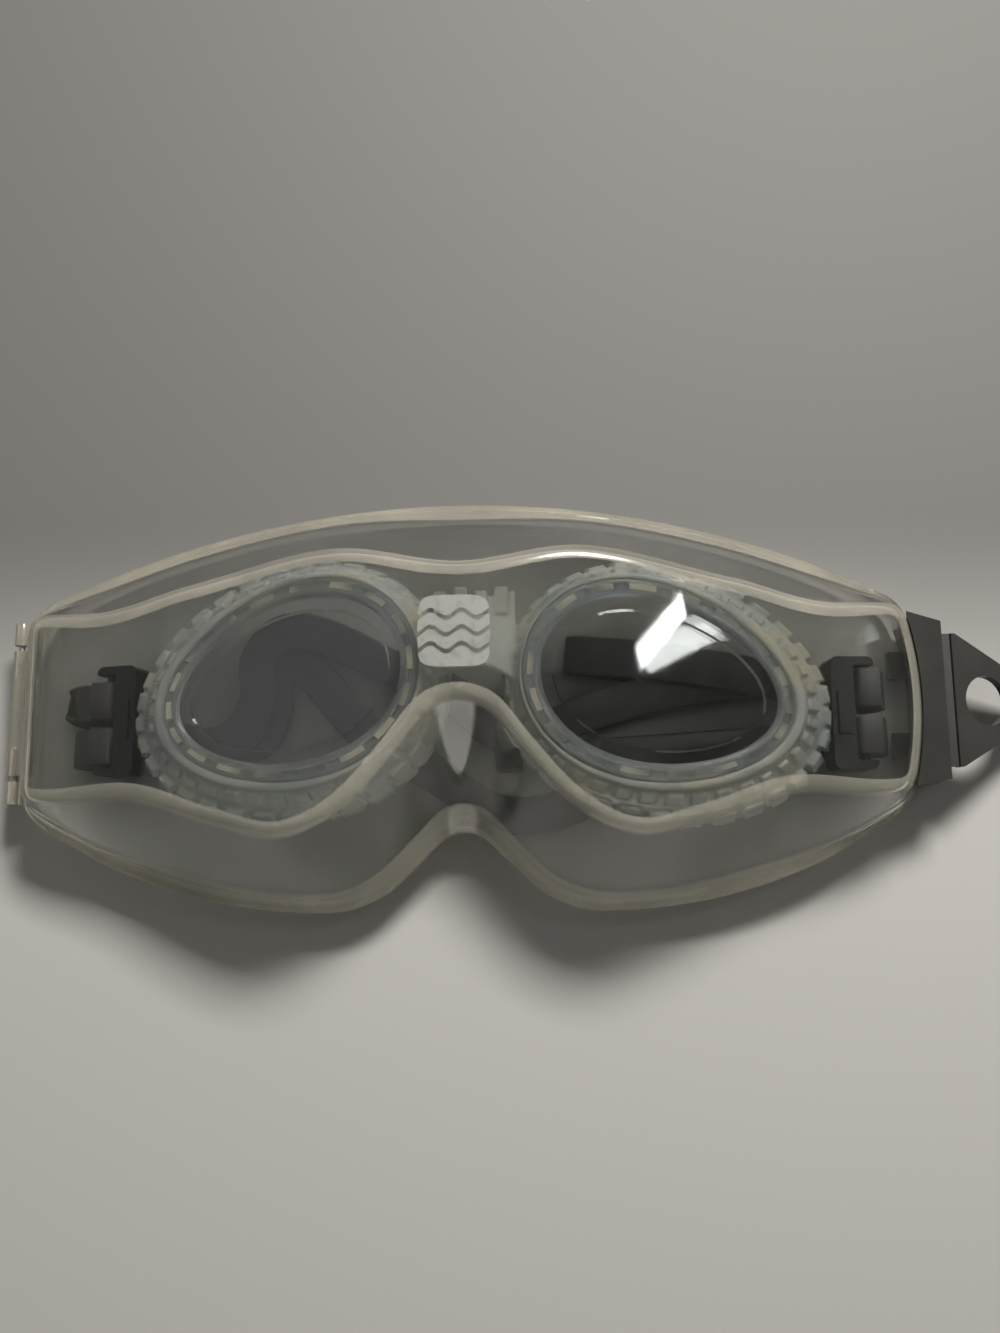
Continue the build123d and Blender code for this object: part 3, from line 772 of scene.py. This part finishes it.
def lens_loop(name, cup, profile, change=None, looks=None):
    """Ring round the lens from a closed profile of (grow, depth). change may move a point by turn."""
    rings = []
    for step in range(TURNS):
        turn = 2 * pi * step / TURNS
        moved = [change(step, k, g, d) if change else (g, d) for k, (g, d) in enumerate(profile)]
        rings.append([lens_point(cup, turn, g, d) for g, d in moved])
    return tube(name, rings, closed=True, looks=looks)


RING_PROFILE = (
    (3.15, -2.1), (3.2, 0.35), (2.95, 0.72), (2.6, 0.8), (2.35, 0.8), (2.3, 0.8), (1.1, 0.8),
    (1.05, 0.8), (0.5, 0.8), (0.0, 0.72), (-0.5, 0.35), (-0.6, 0.1), (0.9, 0.05), (0.9, -2.1),
)
BAR_POINTS = (5, 6)     # profile points that sink between the bars
BAR_SINK = 0.6


def lens_ring(cup):
    """Frosted ring that holds the lens, with a row of small cream bars in its face."""
    pitch = TURNS // BARS

    def sunk(step, k, grow, depth):
        if k in BAR_POINTS and step % pitch > BAR_STEPS:
            return grow, depth - BAR_SINK
        return grow, depth

    looks = [
        int(k == BAR_POINTS[0] and step % pitch < BAR_STEPS)
        for step in range(TURNS)
        for k in range(len(RING_PROFILE))
    ]
    made = lens_loop("ring_" + cup["name"], cup, RING_PROFILE, sunk, looks)
    finish(made, ring_looks, ROOT, "clear_ring", "lens_ring_" + cup["name"], angle=32)


LENS_PROFILE = (
    (-4.2, -0.35), (-3.4, -0.35), (-2.9, -0.02), (0.5, 0.0), (0.65, -0.1), (0.65, -1.6), (0.5, -1.78),
)


def lens(cup):
    """Clear lens plate with a polished edge and a faint step inside it."""
    turns = [2 * pi * step / TURNS for step in range(TURNS)]
    loops = [[lens_point(cup, turn, grow, depth) for turn in turns] for grow, depth in LENS_PROFILE]
    made = tube("lens_plate_" + cup["name"], loops)
    finish(made, [lens_plastic], ROOT, "clear_lens", "lens_" + cup["name"], angle=25)


CUP_PROFILE = (
    (4.6, 0.4), (5.0, -0.6), (5.4, -2.2), (6.6, -3.6), (8.4, -5.2), (9.0, -7.5), (9.3, -11.0),
    (9.2, -13.4), (8.6, -14.0), (6.2, -13.9), (4.4, -10.0), (2.2, -6.0), (0.8, -4.0), (0.65, -2.35),
    (3.22, -2.3), (3.25, 0.2), (3.6, 0.45),
)
PAD_ROWS = (
    # tiles round the cup: count, start share, long share, then corners as (grow, depth)
    (38, 0.0, 0.62, ((5.0, -2.6), (5.9, -1.3), (7.4, -3.0), (7.0, -4.4))),
    (34, 0.5, 0.70, ((8.0, -4.9), (9.2, -4.4), (10.6, -8.2), (9.0, -9.2))),
    (30, 0.0, 0.76, ((8.6, -10.0), (10.0, -10.2), (10.1, -13.2), (8.8, -13.6))),
)


def pads(cup):
    """Raised tiles on the outside of a cup."""
    made = []
    for count, start, share, corners in PAD_ROWS:
        for k in range(count):
            middle = 2 * pi * (k + start) / count
            half = pi / count * share
            turns = np.linspace(middle - half, middle + half, 5)
            made.append(tube("pad", [[lens_point(cup, t, g, d) for g, d in corners] for t in turns]))
    return made


BRIDGE_X = 3.2          # middle of the nose bridge
BRIDGE_HALF = 8.4       # half its length
BRIDGE_TILES = 4
BRIDGE_PITCH = 4.2


def bridge():
    """Nose bridge between the cups, with small tiles along its brow edge."""
    rings = []
    for share in np.linspace(-1, 1, 13):
        x = BRIDGE_X + BRIDGE_HALF * share
        low = 7.5 - 3.5 * share**2
        high = 21.5 + 2.0 * share**2
        top = 30.8 - 1.6 * share**2
        bottom = 26.6 - 0.4 * share**2
        rings.append([(x, low, bottom), (x, high, bottom), (x, high, top - 0.6), (x, low, top)])
    made = [tube("bridge", rings)]
    for k in range(BRIDGE_TILES):
        x = BRIDGE_X - BRIDGE_HALF + BRIDGE_PITCH * k
        rise = 22.9 + 0.9 * (k % 2)
        made.append(box((x, 18.0, 27.4), (x + 2.7, rise, 30.9 - 0.5 * (k % 2))))
    return made


LUG_SECTIONS = ((27.5, 8.5), (31, 7.2), (34, 6.2), (37.7, 6.0))  # (distance out, half height)
LUG_Y = -5
LUG_DEPTHS = (-8.6, -5.4)


def lug(cup):
    """Tongue at the temple that the buckle is moulded to."""
    back, front = LUG_DEPTHS
    rings = []
    for u, half in LUG_SECTIONS:
        corners = ((-half, back), (half, back), (half, front), (-half, front))
        rings.append([cup_point(cup, cup["side"] * u, LUG_Y + v, depth) for v, depth in corners])
    return tube("lug", rings)


SILICONE_VOXEL = 0.36
SEAT_PROFILE = ((3.22, -2.28), (3.22, 3.0), (-1.5, 3.0), (-1.5, -2.28))


def silicone_frame():
    """The one-piece silicone frame: two cups with tiles, nose bridge and temple lugs."""
    parts = []
    for cup in (LEFT, RIGHT):
        parts.append(lens_loop("cup", cup, CUP_PROFILE))
        parts += pads(cup)
        parts.append(lug(cup))
    parts += bridge()
    made = combined("goggle_silicone", parts)
    remesh = made.modifiers.new("one_piece", "REMESH")
    remesh.mode = "VOXEL"
    remesh.voxel_size = SILICONE_VOXEL * MM
    soften = made.modifiers.new("soften", "SMOOTH")
    soften.factor = 0.5
    soften.iterations = 2
    baked(made)
    for cup in (LEFT, RIGHT):
        cut(made, [lens_loop("seat", cup, SEAT_PROFILE)])
    finish(made, [silicone], ROOT, "silicone", "silicone_frame", angle=180)


# ---------------------------------------------------------------- strap
BAND_WIDE = 8.6
BAND_THICK = 1.3
STEEP = 0.3             # a band keeps its last width direction where it runs steeper than this
# Centre lines of the two bands, from the left buckle to the right one.
UPPER_ROUTE = (
    (-81.6, 4, 11.1), (-77.6, 4, 11.1), (-76.4, 4, 9.5), (-77.6, 4, 7.9), (-83.5, 4, 7.8), (-86, 4, 6.4),
    (-85.6, 3.5, 4.8), (-82, 2.5, 4.3), (-74, 0, 4.9), (-65, -4, 5.5), (-56, -5.5, 5.6), (-49.5, -2.5, 5.6),
    (-46, 5, 5.6), (-46, 14, 5.6), (-40.5, 20, 5.6), (-31, 18.8, 5.6), (-15.7, 11.3, 5.6),
    (-3.5, 6, 5.6), (8.4, -2.7, 5.4), (17, -3.2, 5.2), (26, 0.5, 5.2), (42, 5, 5.2), (58, 7.5, 5.2),
    (61.5, 8, 4.8), (61.6, 8.4, 3.9), (58, 9, 3.4), (42, 11.5, 3.4), (27, 13.5, 3.4), (23, 13.9, 4.2),
    (23, 13.9, 6.2), (27, 13.5, 7.1), (42, 12, 7.1), (60, 9, 7.1), (75, 5.5, 7.1), (86, 4, 7.4),
    (90, 4, 9.0), (90, 4, 11.2), (87.8, 4, 12.3), (84.9, 4, 12.5), (83.6, 4, 14), (84.9, 4, 15.6),
    (88.6, 4, 15.7),
)
LOWER_ROUTE = (
    (-81.6, -6, 11.1), (-77.6, -6, 11.1), (-76.4, -6, 9.5), (-77.6, -6, 7.9), (-83.5, -6, 7.8),
    (-86, -6, 6.2), (-85.6, -6, 4.4), (-82, -6.2, 3.5), (-74, -7, 3.4), (-64, -8.4, 3.4),
    (-54, -7.5, 3.4), (-46, -4, 3.5),
    (-42.6, 3, 3.6), (-42.6, 10, 3.7), (-38.6, 13.4, 3.7), (-33, 9.6, 3.7), (-21.5, -3.2, 3.6),
    (-7, -12, 3.6), (4, -18.6, 3.6), (14, -21, 3.6), (28, -17, 3.5), (44, -11.5, 3.4), (58, -9.5, 3.4),
    (61.5, -9.5, 3.8), (61.5, -9.5, 4.8), (58, -9.5, 5.3), (42, -9.5, 5.3), (29, -9.5, 5.3),
    (25.5, -9.5, 5.7), (25.5, -9.5, 6.7), (29, -9.3, 7.1), (44, -8.5, 7.1), (60, -7.5, 7.1),
    (75, -6.3, 7.1), (86, -6, 7.4), (90, -6, 9.0), (90, -6, 11.2), (87.8, -6, 12.3), (84.9, -6, 12.5),
    (83.6, -6, 14), (84.9, -6, 15.6), (88.6, -6, 15.7),
)


def smooth_route(points, steps):
    """Points of a smooth curve through a route."""
    p = np.array(points, float)
    p = np.vstack([2 * p[0] - p[1], p, 2 * p[-1] - p[-2]])
    made = []
    for k in range(1, len(p) - 2):
        reach = np.linalg.norm(p[k + 1] - p[k])
        before = (p[k + 1] - p[k - 1]) / (np.linalg.norm(p[k + 1] - p[k - 1])) * reach
        after = (p[k + 2] - p[k]) / (np.linalg.norm(p[k + 2] - p[k])) * reach
        for t in np.linspace(0, 1, steps, endpoint=False):
            made.append(
                (2 * t**3 - 3 * t**2 + 1) * p[k]
                + (t**3 - 2 * t**2 + t) * before
                + (3 * t**2 - 2 * t**3) * p[k + 1]
                + (t**3 - t**2) * after
            )
    made.append(p[-2])
    return np.array(made)


def ribbon(name, route, wide, thick, steps=8):
    """Flat band with rounded edges along a route."""
    line = smooth_route(route, steps)
    along = np.gradient(line, axis=0)
    along /= np.linalg.norm(along, axis=1)[:, None]
    side = np.array((0.0, 1.0, 0.0))
    corner = thick / 2
    section = []
    for turn in np.linspace(-pi / 2, pi / 2, 6):
        section.append((wide / 2 - corner + corner * cos(turn), corner * sin(turn)))
    section += [(-a, -b) for a, b in section]
    rings = []
    for point, direction in zip(line, along):
        level = np.array((-direction[1], direction[0], 0.0))
        if np.linalg.norm(level) > STEEP:
            side = level * (1 if level @ side > 0 else -1)
        side = side - direction * (side @ direction)
        side /= np.linalg.norm(side)
        up = np.cross(direction, side)
        rings.append([point + side * a + up * b for a, b in section])
    return tube(name, rings)


def strap():
    """Upper and lower band of the strap."""
    for name, route in (("upper", UPPER_ROUTE), ("lower", LOWER_ROUTE)):
        made = ribbon("strap_band_" + name, route, BAND_WIDE, BAND_THICK)
        finish(made, [rubber], ROOT, "strap", "strap_" + name, angle=60)


# ---------------------------------------------------------------- CAD pieces that keep their shape
def keep(node, look, width):
    """Keep a CAD node, round its sharp edges and give it a finished material."""
    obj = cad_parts[node]
    obj.data.materials.clear()
    obj.data.materials.append(look)
    bevel(obj, width)


def kept_pieces():
    """End cap, tab, buckles, bars, buttons, keeper and pins."""
    keep("end_cap", smoke, 0.45)
    keep("hang_tab", smoke, 0.4)
    for side in ("left", "right"):
        keep("buckle_" + side, black, 0.35)
        keep("buckle_bar_" + side, black, 0.2)
        keep("buckle_button_" + side, black, 0.3)
    keep("strap_keeper", rubber, 0.2)
    for side in ("upper", "lower"):
        keep("hinge_pin_" + side, steel, 0.15)


# ---------------------------------------------------------------- stage, light and camera
FLOOR_REACH = 1500
FLOOR_Z = -0.1
FLOOR_PAINTED_SHADE_Y = (-0.02, 0.05)   # painted shade: the floor darkens between these, in metres
# Floor tones from the pale front to the painted shade behind the case.
FLOOR_PAINTED_SHADE_TONES = ((0.0, (0.46, 0.452, 0.435)), (1.0, (0.145, 0.142, 0.136)))


def floor():
    """Pale paper floor, with painted shade that makes it darker behind the case."""
    corners = ((-1, -1), (1, -1), (1, 1), (-1, 1))
    made = solid("floor", [(FLOOR_REACH * x, FLOOR_REACH * y, FLOOR_Z) for x, y in corners], [(0, 1, 2, 3)])
    paper, tree, shader = material("paper", (0.6, 0.6, 0.59), 0.7)
    place = tree.nodes.new("ShaderNodeTexCoord")
    parts = tree.nodes.new("ShaderNodeSeparateXYZ")
    tree.links.new(place.outputs["Object"], parts.inputs["Vector"])
    back = tree.nodes.new("ShaderNodeMapRange")
    back.interpolation_type = "SMOOTHSTEP"
    back.inputs["From Min"].default_value, back.inputs["From Max"].default_value = FLOOR_PAINTED_SHADE_Y
    tree.links.new(parts.outputs["Y"], back.inputs["Value"])
    tree.links.new(ramp(tree, back.outputs["Result"], FLOOR_PAINTED_SHADE_TONES), shader.inputs["Base Color"])
    made.data.materials.append(paper)


def lamp(name, place, target, size, power, colour):
    """Soft rectangular lamp aimed at a point, in metres and watts."""
    light = bpy.data.lights.new(name, "AREA")
    light.shape = "RECTANGLE"
    light.size, light.size_y = size
    light.energy = power
    light.color = colour
    obj = bpy.data.objects.new(name, light)
    obj.location = place
    obj.rotation_euler = (Vector(target) - Vector(place)).to_track_quat("-Z", "Y").to_euler()
    scene.collection.objects.link(obj)


# Sky colour by height, from the horizon up: pale all round under a dim ceiling.
SKY = (
    (0.0, (0.26, 0.25, 0.225)),
    (0.15, (0.50, 0.485, 0.43)),
    (0.5, (0.38, 0.37, 0.34)),
    (0.78, (0.12, 0.12, 0.115)),
    (1.0, (0.045, 0.046, 0.048)),
)


SKY_STRENGTH = 0.62
LAMPS = (
    # name, place, target, size, power, colour
    ("key", (0.16, 0.42, 0.50), (0, 0, 0), (0.20, 0.13), 6.0, (1.0, 0.975, 0.93)),
    ("panel", (-0.36, 0.14, 0.62), (-0.04, 0, 0.03), (0.40, 0.42), 0.13, (0.97, 0.99, 1.0)),
    ("front", (0.0, -0.62, 0.08), (0, 0, 0.02), (0.5, 0.14), 0.4, (1.0, 0.97, 0.88)),
    ("window", (0.285, 0.14, 0.56), (0.05, 0.02, 0.03), (0.018, 0.085), 0.11, (0.97, 1.0, 1.0)),
)


def lights():
    """Soft sky, a key from above the brow, two wide fills and a small lamp over the right lens."""
    world = bpy.data.worlds.new("studio")
    world.use_nodes = True
    tree = world.node_tree
    sky = tree.nodes["Background"]
    sky.inputs["Strength"].default_value = SKY_STRENGTH
    place = tree.nodes.new("ShaderNodeTexCoord")
    parts = tree.nodes.new("ShaderNodeSeparateXYZ")
    tree.links.new(place.outputs["Generated"], parts.inputs["Vector"])
    tree.links.new(ramp(tree, parts.outputs["Z"], SKY), sky.inputs["Color"])
    scene.world = world
    for settings in LAMPS:
        lamp(*settings)


CAMERA_TARGET = Vector((0.0081, 0.0092, 0.019))
CAMERA_ELEVATION = 79.1
CAMERA_AZIMUTH = 1.4
CAMERA_ROLL = -0.55
CAMERA_DISTANCE = 0.270
CAMERA_LENS = 34.2


def camera():
    """Camera almost straight above the case, a little to the nose side."""
    tilt = radians(90 - CAMERA_ELEVATION)
    swing = radians(CAMERA_AZIMUTH)
    back = Vector((sin(swing), -sin(tilt) * cos(swing), cos(tilt) * cos(swing)))
    view = bpy.data.cameras.new("camera")
    view.lens = CAMERA_LENS
    view.sensor_width = 36
    view.clip_start = 0.01
    obj = bpy.data.objects.new("camera", view)
    right = (-back).cross(Vector((0, 1, 0))).normalized()
    up = right.cross(-back)
    turn = Matrix((right, up, back)).transposed() @ Matrix.Rotation(radians(CAMERA_ROLL), 3, "Z")
    obj.matrix_world = Matrix.Translation(CAMERA_TARGET + back * CAMERA_DISTANCE) @ turn.to_4x4()
    scene.collection.objects.link(obj)
    scene.camera = obj


front_shell()
back_shell()
for settings in KNUCKLES:
    knuckle(*settings)
emblem()
for cup in (LEFT, RIGHT):
    lens_ring(cup)
    lens(cup)
silicone_frame()
strap()
kept_pieces()
floor()
lights()
camera()
scene.view_settings.view_transform = "Standard"
